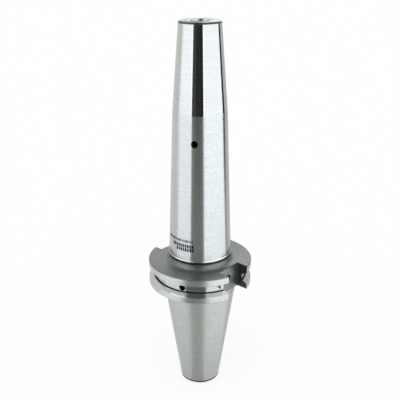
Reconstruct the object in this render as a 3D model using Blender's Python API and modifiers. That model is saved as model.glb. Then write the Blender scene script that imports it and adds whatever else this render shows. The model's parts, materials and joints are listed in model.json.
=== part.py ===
"""Shrink fit tool holder with a 7:24 spindle taper, a V-flange and a slim two-stage cone.

The holder stands nose up on the small end of its taper. Units are metres. The origin is the
centre of the taper's small end, +Z runs along the axis to the nose, and the drive slots lie on X.
"""
import math

import bmesh
import bpy
from mathutils import Matrix, Vector

COLLECTION_NAME = "shrink_fit_tool_holder"
CUTTER_COLLECTION_NAME = "cutters"

# Spindle taper
GAUGE_DIAMETER = 0.04445
TAPER_RATIO = 7 / 24
TAPER_LENGTH = 0.06825
TAPER_END_CHAMFER = 0.0005
NECK_RELIEF = 0.0004

# Flange with the gripper groove
FLANGE_DIAMETER = 0.0635
FLANGE_BACK_FROM_GAUGE = 0.003175
FLANGE_THICKNESS = 0.015875
FLANGE_CHAMFER = 0.0004
GROOVE_MOUTH_WIDTH = 0.00704
GROOVE_DEPTH = 0.003625
GROOVE_INCLUDED_ANGLE = math.radians(60)

# Drive slots, one a little shallower than the other
SLOT_WIDTH = 0.01638
DEEP_SLOT_FLOOR_OUTSIDE_GAUGE = 0.0007
SHALLOW_SLOT_FLOOR_OUTSIDE_GAUGE = 0.0028

# Ground body between the flange and the nose
PROJECTION = 0.160
NOSE_DIAMETER = 0.0238
NOSE_HALF_ANGLE = math.radians(4.5)
NOSE_CONE_LENGTH = 0.049
NOSE_CHAMFER = 0.0007
BODY_FOOT_DIAMETER = 0.038
COLLAR_STEP = 0.0003
COLLAR_LAND = 0.0004
COLLAR_FILLET_RADIUS = 0.004

# Shank bore and its vent
SHRINK_BORE_DIAMETER = 0.012
SHRINK_BORE_DEPTH = 0.050
SHRINK_BORE_CHAMFER = 0.0004
RELIEF_STEP = 0.0003
VENT_DIAMETER = 0.0035
VENT_BELOW_NOSE = 0.0643
VENT_ABOVE_RELIEF_FLOOR = 0.0006
VENT_ANGLE = math.radians(-59)

# Length stop screw and its threaded hole, both at the thread's outside diameter
STOP_THREAD_DIAMETER = 0.010
STOP_SCREW_LENGTH = 0.016
STOP_TRAVEL = 0.010
STOP_RUNOUT = 0.002
STOP_CHAMFER = 0.0008
STOP_SOCKET_WIDTH = 0.005
STOP_SOCKET_DEPTH = 0.005
STOP_COOLANT_DIAMETER = 0.004
THREAD_CLEARANCE = 0.0003

# Coolant bore and the retention knob's hole in the small end
COOLANT_BORE_DIAMETER = 0.008
KNOB_THREAD_DIAMETER = 0.015875
KNOB_THREAD_DEPTH = 0.032
KNOB_PILOT_DIAMETER = 0.0163
KNOB_PILOT_DEPTH = 0.005
KNOB_MOUTH_CHAMFER = 0.001

# Balance holes drilled in the groove's floor
BALANCE_HOLE_DIAMETER = 0.004
BALANCE_HOLE_DEPTH = 0.008
BALANCE_HOLE_ANGLE = math.radians(-70)
BALANCE_SPOT_DIAMETER = 0.003
BALANCE_SPOT_DEPTH = 0.0003
BALANCE_SPOT_ANGLE = math.radians(-25)

# Hole drilled in the deep slot's floor, a little above the middle of the groove
SLOT_HOLE_DIAMETER = 0.0042
SLOT_HOLE_DEPTH = 0.006
SLOT_HOLE_ABOVE_GROOVE = 0.0007

# Point of every drill
DRILL_POINT_ANGLE = math.radians(118)

# Facets
TURNING_STEPS = 72
FILLET_STEPS = 6
DRILL_STEPS = 16
CUTTER_OVERLAP = 0.002
MERGE_DISTANCE = 0.00001
SHARP_ANGLE = math.radians(25)

# Places along the axis that follow from the sizes above
GAUGE_Z = TAPER_LENGTH
FLANGE_BACK_Z = GAUGE_Z + FLANGE_BACK_FROM_GAUGE
FLANGE_FACE_Z = FLANGE_BACK_Z + FLANGE_THICKNESS
GROOVE_Z = (FLANGE_BACK_Z + FLANGE_FACE_Z) / 2
NOSE_Z = GAUGE_Z + PROJECTION
CONE_BREAK_Z = NOSE_Z - NOSE_CONE_LENGTH

GAUGE_RADIUS = GAUGE_DIAMETER / 2
FLANGE_RADIUS = FLANGE_DIAMETER / 2
GROOVE_FLOOR_RADIUS = FLANGE_RADIUS - GROOVE_DEPTH
RELIEF_RADIUS = SHRINK_BORE_DIAMETER / 2 + RELIEF_STEP
STOP_HOLE_RADIUS = STOP_THREAD_DIAMETER / 2
COOLANT_RADIUS = COOLANT_BORE_DIAMETER / 2
KNOB_THREAD_RADIUS = KNOB_THREAD_DIAMETER / 2


def drill_point_height(outer_radius, inner_radius=0.0):
    """Height of the cone that a drill leaves between two radii."""
    return (outer_radius - inner_radius) / math.tan(DRILL_POINT_ANGLE / 2)


RELIEF_FLOOR_Z = NOSE_Z - VENT_BELOW_NOSE - VENT_DIAMETER / 2 - VENT_ABOVE_RELIEF_FLOOR
STOP_HOLE_TOP_Z = RELIEF_FLOOR_Z - drill_point_height(RELIEF_RADIUS, STOP_HOLE_RADIUS)
STOP_SCREW_Z = STOP_HOLE_TOP_Z - STOP_TRAVEL - STOP_SCREW_LENGTH
STOP_HOLE_FLOOR_Z = STOP_SCREW_Z - STOP_RUNOUT


def start_clean():
    """Remove the objects that an open scene may hold."""
    for old in list(bpy.data.objects):
        bpy.data.objects.remove(old, do_unlink=True)


def new_collection(name):
    collection = bpy.data.collections.new(name)
    bpy.context.scene.collection.children.link(collection)
    return collection


def steel(name, shade, roughness):
    """A plain metal for one piece."""
    material = bpy.data.materials.new(name)
    material.use_nodes = True
    shader = material.node_tree.nodes["Principled BSDF"]
    shader.inputs["Base Color"].default_value = (shade, shade, shade * 0.99, 1.0)
    shader.inputs["Metallic"].default_value = 1.0
    shader.inputs["Roughness"].default_value = roughness
    return material


def arc(centre, radius, start, end, steps):
    """Points of a round stretch of a profile, both ends included."""
    points = []
    for step in range(steps + 1):
        angle = start + (end - start) * step / steps
        points.append((centre[0] + radius * math.cos(angle), centre[1] + radius * math.sin(angle)))
    return points


def turned(name, profile, collection, closed=True, steps=TURNING_STEPS):
    """Turn a profile of radius and height pairs round the Z axis."""
    points = [(radius, 0.0, height) for radius, height in profile]
    edges = [(i, i + 1) for i in range(len(points) - 1)]
    if closed:
        edges.append((len(points) - 1, 0))
    mesh = bpy.data.meshes.new(name)
    mesh.from_pydata(points, edges, [])
    piece = bpy.data.objects.new(name, mesh)
    collection.objects.link(piece)
    screw = piece.modifiers.new("turning", "SCREW")
    screw.axis = "Z"
    screw.angle = 2 * math.pi
    screw.steps = steps
    screw.render_steps = steps
    screw.use_merge_vertices = True
    screw.merge_threshold = MERGE_DISTANCE
    return piece


def as_cutter(piece):
    piece.hide_render = True
    piece.display_type = "WIRE"
    return piece


def drill(name, diameter, depth, place, direction, collection):
    """A drill bit with its point, entering at a place along a direction."""
    radius = diameter / 2
    profile = [
        (0.0, CUTTER_OVERLAP),
        (radius, CUTTER_OVERLAP),
        (radius, -depth),
        (0.0, -depth - drill_point_height(radius)),
    ]
    bit = as_cutter(turned(name, profile, collection, closed=False, steps=DRILL_STEPS))
    bit.rotation_euler = (-Vector(direction)).to_track_quat("Z", "Y").to_euler()
    bit.location = place
    return bit


def box_cutter(name, low, high, collection):
    """A milling cut as a box between two corners."""
    size = [high[i] - low[i] for i in range(3)]
    centre = Vector([(high[i] + low[i]) / 2 for i in range(3)])
    shape = bmesh.new()
    bmesh.ops.create_cube(shape, size=1.0, matrix=Matrix.Translation(centre) @ Matrix.Diagonal((*size, 1.0)))
    mesh = bpy.data.meshes.new(name)
    shape.to_mesh(mesh)
    shape.free()
    cutter = bpy.data.objects.new(name, mesh)
    collection.objects.link(cutter)
    return as_cutter(cutter)


def cut(piece, cutter):
    boolean = piece.modifiers.new(cutter.name, "BOOLEAN")
    boolean.operation = "DIFFERENCE"
    boolean.solver = "EXACT"
    boolean.object = cutter


def settle(piece):
    """Keep the cut shape as the piece's own mesh, with smooth rounds and crisp edges."""
    evaluated = piece.evaluated_get(bpy.context.evaluated_depsgraph_get())
    mesh = bpy.data.meshes.new_from_object(evaluated)
    piece.modifiers.clear()
    piece.data = mesh
    mesh.name = piece.name
    mesh.shade_smooth()
    mesh.set_sharp_from_angle(angle=SHARP_ANGLE)


def nose_profile():
    """The face and the steep cone that heat opens, from the bore outwards."""
    nose_radius = NOSE_DIAMETER / 2
    break_radius = nose_radius + NOSE_CONE_LENGTH * math.tan(NOSE_HALF_ANGLE)
    return [
        (SHRINK_BORE_DIAMETER / 2 + SHRINK_BORE_CHAMFER, NOSE_Z),
        (nose_radius - NOSE_CHAMFER, NOSE_Z),
        (nose_radius + NOSE_CHAMFER * math.tan(NOSE_HALF_ANGLE), NOSE_Z - NOSE_CHAMFER),
        (break_radius, CONE_BREAK_Z),
    ]


def collar_profile():
    """The foot of the ground body and the fillet that the grinding wheel leaves black."""
    foot_radius = BODY_FOOT_DIAMETER / 2
    neck_radius = foot_radius - COLLAR_STEP
    fillet_top = FLANGE_FACE_Z + COLLAR_FILLET_RADIUS
    foot_z = fillet_top + COLLAR_LAND + COLLAR_STEP
    fillet_centre = (neck_radius + COLLAR_FILLET_RADIUS, fillet_top)
    fillet = arc(fillet_centre, COLLAR_FILLET_RADIUS, math.pi, 1.5 * math.pi, FILLET_STEPS)
    return [(foot_radius, foot_z), (neck_radius, foot_z - COLLAR_STEP)] + fillet


def flange_profile():
    """The rim with the V-shaped groove that a tool changer grips."""
    half_mouth = GROOVE_MOUTH_WIDTH / 2
    half_floor = half_mouth - GROOVE_DEPTH * math.tan(GROOVE_INCLUDED_ANGLE / 2)
    return [
        (FLANGE_RADIUS - FLANGE_CHAMFER, FLANGE_FACE_Z),
        (FLANGE_RADIUS, FLANGE_FACE_Z - FLANGE_CHAMFER),
        (FLANGE_RADIUS, GROOVE_Z + half_mouth),
        (GROOVE_FLOOR_RADIUS, GROOVE_Z + half_floor),
        (GROOVE_FLOOR_RADIUS, GROOVE_Z - half_floor),
        (FLANGE_RADIUS, GROOVE_Z - half_mouth),
        (FLANGE_RADIUS, FLANGE_BACK_Z + FLANGE_CHAMFER),
        (FLANGE_RADIUS - FLANGE_CHAMFER, FLANGE_BACK_Z),
    ]


def taper_profile():
    """The relieved neck under the flange and the 7:24 taper down to its small end."""
    neck_radius = GAUGE_RADIUS - NECK_RELIEF
    end_radius = GAUGE_RADIUS - TAPER_LENGTH * TAPER_RATIO / 2
    chamfer_radius = end_radius + TAPER_END_CHAMFER * TAPER_RATIO / 2
    return [
        (neck_radius, FLANGE_BACK_Z),
        (neck_radius, GAUGE_Z + NECK_RELIEF),
        (GAUGE_RADIUS, GAUGE_Z),
        (chamfer_radius, TAPER_END_CHAMFER),
        (end_radius - TAPER_END_CHAMFER, 0.0),
    ]


def bore_profile():
    """The stepped bore, from the retention knob's mouth up to the shank bore's mouth."""
    pilot_radius = KNOB_PILOT_DIAMETER / 2
    shrink_radius = SHRINK_BORE_DIAMETER / 2
    knob_floor_z = KNOB_THREAD_DEPTH + drill_point_height(KNOB_THREAD_RADIUS, COOLANT_RADIUS)
    stop_floor_z = STOP_HOLE_FLOOR_Z - drill_point_height(STOP_HOLE_RADIUS, COOLANT_RADIUS)
    return [
        (pilot_radius + KNOB_MOUTH_CHAMFER, 0.0),
        (pilot_radius, KNOB_MOUTH_CHAMFER),
        (pilot_radius, KNOB_PILOT_DEPTH),
        (KNOB_THREAD_RADIUS, KNOB_PILOT_DEPTH + pilot_radius - KNOB_THREAD_RADIUS),
        (KNOB_THREAD_RADIUS, KNOB_THREAD_DEPTH),
        (COOLANT_RADIUS, knob_floor_z),
        (COOLANT_RADIUS, stop_floor_z),
        (STOP_HOLE_RADIUS, STOP_HOLE_FLOOR_Z),
        (STOP_HOLE_RADIUS, STOP_HOLE_TOP_Z),
        (RELIEF_RADIUS, RELIEF_FLOOR_Z),
        (RELIEF_RADIUS, NOSE_Z - SHRINK_BORE_DEPTH - RELIEF_STEP),
        (shrink_radius, NOSE_Z - SHRINK_BORE_DEPTH),
        (shrink_radius, NOSE_Z - SHRINK_BORE_CHAMFER),
    ]


def slot_cutter(name, side, floor_outside_gauge, collection):
    """A drive slot milled through the rim on one side of the X axis."""
    floor_x = GAUGE_RADIUS + floor_outside_gauge
    far_x = FLANGE_RADIUS + CUTTER_OVERLAP
    ends = sorted((side * floor_x, side * far_x))
    low = (ends[0], -SLOT_WIDTH / 2, FLANGE_BACK_Z - CUTTER_OVERLAP)
    high = (ends[1], SLOT_WIDTH / 2, FLANGE_FACE_Z + CUTTER_OVERLAP)
    return box_cutter(name, low, high, collection)


def radial_drill(name, diameter, depth, surface_radius, height, angle, collection):
    """A drill that enters a round surface square to it."""
    outward = Vector((math.cos(angle), math.sin(angle), 0.0))
    place = outward * surface_radius + Vector((0.0, 0.0, height))
    return drill(name, diameter, depth, place, -outward, collection)


def body_radius(height):
    """Radius of the lower ground cone at a height."""
    foot_z = collar_profile()[0][1]
    break_radius = nose_profile()[-1][0]
    share = (height - foot_z) / (CONE_BREAK_Z - foot_z)
    return BODY_FOOT_DIAMETER / 2 + share * (break_radius - BODY_FOOT_DIAMETER / 2)


def make_holder_body(parts, cutters):
    """The one turned, milled and drilled steel body."""
    profile = nose_profile() + collar_profile() + flange_profile() + taper_profile() + bore_profile()
    body = turned("holder_body", profile, parts)
    vent_z = NOSE_Z - VENT_BELOW_NOSE
    vent_radius = body_radius(vent_z)
    vent_depth = vent_radius - RELIEF_RADIUS / 2
    cut_list = [
        slot_cutter("deep_drive_slot", 1, DEEP_SLOT_FLOOR_OUTSIDE_GAUGE, cutters),
        slot_cutter("shallow_drive_slot", -1, SHALLOW_SLOT_FLOOR_OUTSIDE_GAUGE, cutters),
        radial_drill("vent", VENT_DIAMETER, vent_depth, vent_radius, vent_z, VENT_ANGLE, cutters),
        radial_drill("balance_hole", BALANCE_HOLE_DIAMETER, BALANCE_HOLE_DEPTH, GROOVE_FLOOR_RADIUS,
                     GROOVE_Z, BALANCE_HOLE_ANGLE, cutters),
        radial_drill("balance_spot", BALANCE_SPOT_DIAMETER, BALANCE_SPOT_DEPTH, GROOVE_FLOOR_RADIUS,
                     GROOVE_Z, BALANCE_SPOT_ANGLE, cutters),
        radial_drill("slot_hole", SLOT_HOLE_DIAMETER, SLOT_HOLE_DEPTH,
                     GAUGE_RADIUS + DEEP_SLOT_FLOOR_OUTSIDE_GAUGE, GROOVE_Z + SLOT_HOLE_ABOVE_GROOVE, 0.0,
                     cutters),
    ]
    for cutter in cut_list:
        cut(body, cutter)
    settle(body)
    body.data.materials.append(steel("ground_steel", 0.62, 0.25))
    return body


def socket_cutter(name, centre_z, collection):
    """The six-sided recess for a hexagon key."""
    shape = bmesh.new()
    corner_radius = STOP_SOCKET_WIDTH / math.sqrt(3)
    bmesh.ops.create_cone(shape, cap_ends=True, segments=6, radius1=corner_radius,
                          radius2=corner_radius, depth=2 * STOP_SOCKET_DEPTH)
    mesh = bpy.data.meshes.new(name)
    shape.to_mesh(mesh)
    shape.free()
    cutter = bpy.data.objects.new(name, mesh)
    cutter.location = (0.0, 0.0, centre_z)
    collection.objects.link(cutter)
    return as_cutter(cutter)


def make_stop_screw(parts, cutters):
    """The screw that a tool's shank rests on, with a key socket in each end and a coolant hole."""
    radius = STOP_HOLE_RADIUS - THREAD_CLEARANCE
    hole_radius = STOP_COOLANT_DIAMETER / 2
    profile = [
        (hole_radius, STOP_SCREW_LENGTH),
        (radius - STOP_CHAMFER, STOP_SCREW_LENGTH),
        (radius, STOP_SCREW_LENGTH - STOP_CHAMFER),
        (radius, STOP_CHAMFER),
        (radius - STOP_CHAMFER, 0.0),
        (hole_radius, 0.0),
    ]
    screw = turned("length_stop_screw", profile, parts, steps=TURNING_STEPS // 2)
    screw.location = (0.0, 0.0, STOP_SCREW_Z)
    for name, height in (("nose_socket", STOP_SCREW_LENGTH), ("rear_socket", 0.0)):
        cut(screw, socket_cutter(name, STOP_SCREW_Z + height, cutters))
    settle(screw)
    screw.data.materials.append(steel("black_oxide_steel", 0.08, 0.45))
    return screw


def main():
    start_clean()
    parts = new_collection(COLLECTION_NAME)
    cutters = new_collection(CUTTER_COLLECTION_NAME)
    make_holder_body(parts, cutters)
    make_stop_screw(parts, cutters)


main()
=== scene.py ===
# %% [markdown]
# A shrink fit tool holder, dressed for a product picture
#
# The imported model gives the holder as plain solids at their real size. This lesson keeps those
# sizes and gives the steel its finishes: a polished nose, a ground body, a blasted flange face,
# a turned rim, milled slots and a satin taper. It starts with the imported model, because every
# later piece has to land on it.

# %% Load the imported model
import json
import math

import bmesh
import bpy
from mathutils import Matrix, Vector


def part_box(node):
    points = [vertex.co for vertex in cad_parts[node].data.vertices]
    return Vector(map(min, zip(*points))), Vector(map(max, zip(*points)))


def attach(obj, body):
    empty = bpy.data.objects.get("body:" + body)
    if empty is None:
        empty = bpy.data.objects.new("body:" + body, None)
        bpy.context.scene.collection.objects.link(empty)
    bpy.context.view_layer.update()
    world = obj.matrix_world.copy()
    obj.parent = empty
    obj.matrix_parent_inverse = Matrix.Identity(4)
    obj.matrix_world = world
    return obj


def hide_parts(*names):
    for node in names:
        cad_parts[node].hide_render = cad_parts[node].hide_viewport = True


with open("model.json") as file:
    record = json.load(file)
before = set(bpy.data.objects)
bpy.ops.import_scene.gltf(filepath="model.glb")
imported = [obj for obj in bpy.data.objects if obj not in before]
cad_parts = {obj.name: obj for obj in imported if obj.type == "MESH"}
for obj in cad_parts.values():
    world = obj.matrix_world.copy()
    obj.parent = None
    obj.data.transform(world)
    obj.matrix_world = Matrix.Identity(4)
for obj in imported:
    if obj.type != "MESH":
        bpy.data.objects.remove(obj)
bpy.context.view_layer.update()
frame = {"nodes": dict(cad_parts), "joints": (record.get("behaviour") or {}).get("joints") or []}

print("nodes:", sorted(frame["nodes"]))

# %% [markdown]
# Sizes
#
# A machinist reads a holder from its standard sizes: the 7:24 taper with its gauge line, the
# V-flange that the tool changer grips, and the distance from the gauge line to the nose. The
# overall length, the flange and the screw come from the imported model. The rest are the few
# sizes that such a drawing gives, in metres.

# %% Sizes of the turned outline
body_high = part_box("holder_body")[1]
screw_low, screw_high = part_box("length_stop_screw")

NOSE_Z = body_high.z
FLANGE_RADIUS = body_high.y

GAUGE_RADIUS = 0.04445 / 2
GAUGE_Z = 0.06825
TAPER_RATIO = 7 / 24
TAPER_END_CHAMFER = 0.0005
NECK_RELIEF = 0.0004

FLANGE_ABOVE_GAUGE = 0.003175
FLANGE_THICKNESS = 0.015875
FLANGE_BACK_Z = GAUGE_Z + FLANGE_ABOVE_GAUGE
FLANGE_FACE_Z = FLANGE_BACK_Z + FLANGE_THICKNESS
FLANGE_CHAMFER = 0.0004
GROOVE_Z = (FLANGE_BACK_Z + FLANGE_FACE_Z) / 2
GROOVE_HALF_MOUTH = 0.00704 / 2
GROOVE_DEPTH = 0.003625
GROOVE_HALF_ANGLE = math.radians(30)

NOSE_RADIUS = 0.0238 / 2
NOSE_CHAMFER = 0.0007
NOSE_HALF_ANGLE = math.radians(4.5)
NOSE_CONE_LENGTH = 0.049
CONE_BREAK_Z = NOSE_Z - NOSE_CONE_LENGTH
BODY_FOOT_RADIUS = 0.038 / 2
COLLAR_STEP = 0.0003
COLLAR_FILLET = 0.004

print("nose at", round(1000 * NOSE_Z, 2), "mm, flange radius", round(1000 * FLANGE_RADIUS, 2), "mm")

# %% [markdown]
# What the picture adds to the drawing
#
# A drawing stops at sharp corners. The steel in the picture shows more: an undercut where a tool
# backed off, a flare where the grinding wheel left the cone, a dark coat that runs a little over
# the rim, a groove whose lower flank sits lower than the standard one, and short stretches in the
# shade of an edge. The undercuts and those stretches are painted dark as shade, and the flare is
# painted brighter than the steel as a highlight. They measure a millimetre or so. The imported
# model leaves them out or keeps to the standard size, but each of them draws a line across bright
# steel.

# %% Sizes that only the picture gives
# NOSE_SHADE, NECK_SHADE and TAPER_END_SHADE are heights of stretches painted dark as shade.
NOSE_SHADE = 0.00035
BREAK_LINE = 0.0003
COLLAR_LAND = 0.0007
FILLET_LEFT = 0.003
WHEEL_FLARE = 0.0003
WHEEL_FLARE_HEIGHT = 0.0006
FOOT_UNDERCUT = 0.0006
FOOT_UNDERCUT_HEIGHT = 0.0016
DARK_OVER_RIM = 0.0003
GROOVE_UNDERCUT = 0.0003
GROOVE_UNDERCUT_HEIGHT = 0.0005
GROOVE_LOWERED = 0.00062
NECK_SHADE = 0.0015
TAPER_END_SHADE = 0.0012

print("the groove's lower flank sits", round(1000 * GROOVE_LOWERED, 2), "mm below its standard place")

# %% [markdown]
# What is bored, milled and drilled
#
# The shank bore holds a tool by shrinking on it, so it is ground to size, and a relief below it
# gives the grinding wheel room. Under that come the fine thread of the stop screw, the bore for the
# coolant and the coarse thread for the retention knob. Across them go the two drive slots, the
# vent and the small holes that balance the holder.

# %% Sizes of the bores, slots and holes
SHANK_BORE_RADIUS = 0.012 / 2
SHANK_BORE_DEPTH = 0.050
BORE_CHAMFER = 0.0004
RELIEF_STEP = 0.0003
VENT_RADIUS = 0.0035 / 2
VENT_BELOW_NOSE = 0.0643
VENT_Z = NOSE_Z - VENT_BELOW_NOSE
VENT_ABOVE_FLOOR = 0.0006
VENT_ANGLE = math.radians(-59)
VENT_COUNTERSINK = 0.0004

STOP_HOLE_RADIUS = 0.010 / 2
STOP_PITCH = 0.001
STOP_TRAVEL = frame["joints"][0]["range_m"][1]
STOP_RUNOUT = 0.002
COOLANT_RADIUS = 0.008 / 2

KNOB_RADIUS = 0.015875 / 2
KNOB_PITCH = 0.0254 / 11
KNOB_DEPTH = 0.032
PILOT_RADIUS = 0.0163 / 2
PILOT_DEPTH = 0.005
KNOB_MOUTH_CHAMFER = 0.001

SLOT_WIDTH = 0.01638
DEEP_SLOT_ABOVE_TAPER = 0.0007
SHALLOW_SLOT_ABOVE_TAPER = 0.0028
DEEP_SLOT_FLOOR = GAUGE_RADIUS + DEEP_SLOT_ABOVE_TAPER
SHALLOW_SLOT_FLOOR = GAUGE_RADIUS + SHALLOW_SLOT_ABOVE_TAPER
BALANCE_HOLE_RADIUS = 0.004 / 2
BALANCE_HOLE_DEPTH = 0.008
BALANCE_HOLE_ANGLE = math.radians(-70)
BALANCE_SPOT_RADIUS = 0.003 / 2
BALANCE_SPOT_DEPTH = 0.0003
BALANCE_SPOT_ANGLE = math.radians(-25)
SLOT_HOLE_RADIUS = 0.0042 / 2
SLOT_HOLE_DEPTH = 0.006
SLOT_HOLE_ABOVE_GROOVE = 0.0007
SLOT_HOLE_Z = GROOVE_Z + SLOT_HOLE_ABOVE_GROOVE
DRILL_POINT = math.radians(118)

print("stop screw rests at", round(1000 * screw_low.z, 2), "mm and travels", 1000 * STOP_TRAVEL, "mm")

# %% [markdown]
# Shader sums
#
# A finish is a small sum: grinding lines plus a fine grain for the colour, and one minus that for
# the roughness. Blender wants a node for each step of it. They could be added and linked one by
# one, which is hard to read. Wrapping a socket in a class that knows how to add and multiply lets
# the sum be written as a sum, and the class makes the nodes.

# %% A socket that can be used in sums
class Signal:
    """An output socket. Its sums are Math nodes, so they suit values and not colours."""

    def __init__(self, recipe, socket):
        self.recipe = recipe
        self.socket = socket

    def math(self, operation, first, second):
        """The Math node of two values, either of which may be a plain number."""
        return self.recipe.node("ShaderNodeMath", {"operation": operation}, {0: first, 1: second})

    def __add__(self, other):
        return self.math("ADD", self, other)

    def __radd__(self, other):
        return self.math("ADD", other, self)

    def __sub__(self, other):
        return self.math("SUBTRACT", self, other)

    def __rsub__(self, other):
        return self.math("SUBTRACT", other, self)

    def __mul__(self, other):
        return self.math("MULTIPLY", self, other)

    def __rmul__(self, other):
        return self.math("MULTIPLY", other, self)


# %% A recipe that makes every node
class Recipe:
    """The node tree of one material or of the world, with one way to add a node."""

    def __init__(self, tree):
        self.tree = tree
        tree.nodes.clear()

    def node(self, kind, settings=None, sockets=None, output=0):
        """Add a node: its settings first, then the values or links of its sockets."""
        made = self.tree.nodes.new(kind)
        for key, value in (settings or {}).items():
            setattr(made, key, value)
        for key, value in (sockets or {}).items():
            if isinstance(value, Signal):
                self.tree.links.new(value.socket, made.inputs[key])
            else:
                made.inputs[key].default_value = value
        return Signal(self, made.outputs[output]) if made.outputs else made

    def mix_colour(self, factor, first, second):
        """Blend two colours by a factor. The Mix node keeps its colour sockets at these places."""
        sockets = {0: factor, 6: first, 7: second}
        return self.node("ShaderNodeMix", {"data_type": "RGBA"}, sockets, output=2)


def new_material(name):
    """An empty material and the recipe that fills it."""
    material = bpy.data.materials.new(name)
    material.use_nodes = True
    return material, Recipe(material.node_tree)


# %% [markdown]
# Machined steel
#
# All the steel here is one metal. What tells its surfaces apart is the tool that made them: a
# grinding wheel leaves fine rings and a sheen stretched along the axis, a blasting nozzle leaves
# an even grain, a milling cutter leaves feed lines. So one function makes the metal, and takes
# the size and direction of the marks. A picture of brushed metal could be wrapped round the part,
# but it would show a seam. So the marks are noise that is squeezed along one axis, and they change
# the colour, the roughness and, very slightly, the height.

# %% One function for every machined finish
NEUTRAL = (1.0, 1.0, 1.0)
STEEL_TINT = (0.96, 1.0, 0.955)
BRIGHT_TINT = (0.973, 1.0, 0.957)
WARM_TINT = (0.965, 1.0, 0.925)
DARK_TINT = (0.94, 1.0, 0.935)
GRAIN = (900.0, 900.0, 900.0)
ACROSS_THE_MARKS = 0.25


def grey(level, tint=NEUTRAL):
    """A grey of that brightness, with a little of a tint."""
    return tuple(level * part for part in tint) + (1.0,)


def machined(name, level, roughness, marks, contrast, spread, height=0.0, anisotropic=0.0,
             metallic=1.0, mottle=1.0, tint=STEEL_TINT):
    """Steel with tool marks, and a sheen that is stretched across them.

    The level is its brightness. The marks are noise scales along X, Y and Z, per metre, and mottle
    is how much of the grain shows. Contrast varies the brightness by that share, and spread the
    roughness by that much.
    """
    material, recipe = new_material(name)
    place = recipe.node("ShaderNodeTexCoord", output="Object")
    lined = recipe.node("ShaderNodeMapping", {}, {"Vector": place, "Scale": marks})
    lines = recipe.node("ShaderNodeTexNoise", {"noise_dimensions": "3D"},
                        {"Vector": lined, "Scale": 1.0, "Detail": 3.0, "Roughness": 0.6})
    speckled = recipe.node("ShaderNodeMapping", {}, {"Vector": place, "Scale": GRAIN})
    specks = recipe.node("ShaderNodeTexNoise", {"noise_dimensions": "3D"},
                         {"Vector": speckled, "Scale": 1.0, "Detail": 2.0, "Roughness": 0.5})
    pattern = lines + (specks - 0.5) * mottle
    dull = grey(level * (1 - contrast), tint)
    bright = grey(level * (1 + contrast), tint)
    colour = recipe.mix_colour(pattern, dull, bright)
    rough = (roughness - spread) + 2 * spread * (1 - pattern)
    bump = recipe.node("ShaderNodeBump", {}, {"Strength": 1.0, "Distance": height, "Height": pattern})
    sockets = {"Base Color": colour, "Metallic": metallic, "Roughness": rough, "Normal": bump,
               "Anisotropic": anisotropic, "Anisotropic Rotation": ACROSS_THE_MARKS}
    shader = recipe.node("ShaderNodeBsdfPrincipled", {}, sockets)
    recipe.node("ShaderNodeOutputMaterial", {}, {"Surface": shader})
    print("finish", name, "with", len(material.node_tree.nodes), "nodes")
    return material


# %% [markdown]
# The finishes
#
# The nose cone is ground, then polished, so it mirrors the studio. The body below it is ground
# only. The flange face and the fillet are blasted before grinding and stay dark. The rim and its
# groove are turned bright, the slots are milled, and the taper is ground to an even satin. A few
# finishes are painted light or shade: dark ones for the shade in undercuts, holes, the slots'
# walls and under edges, and one brighter than steel for the highlight on the wheel's flare.

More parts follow.
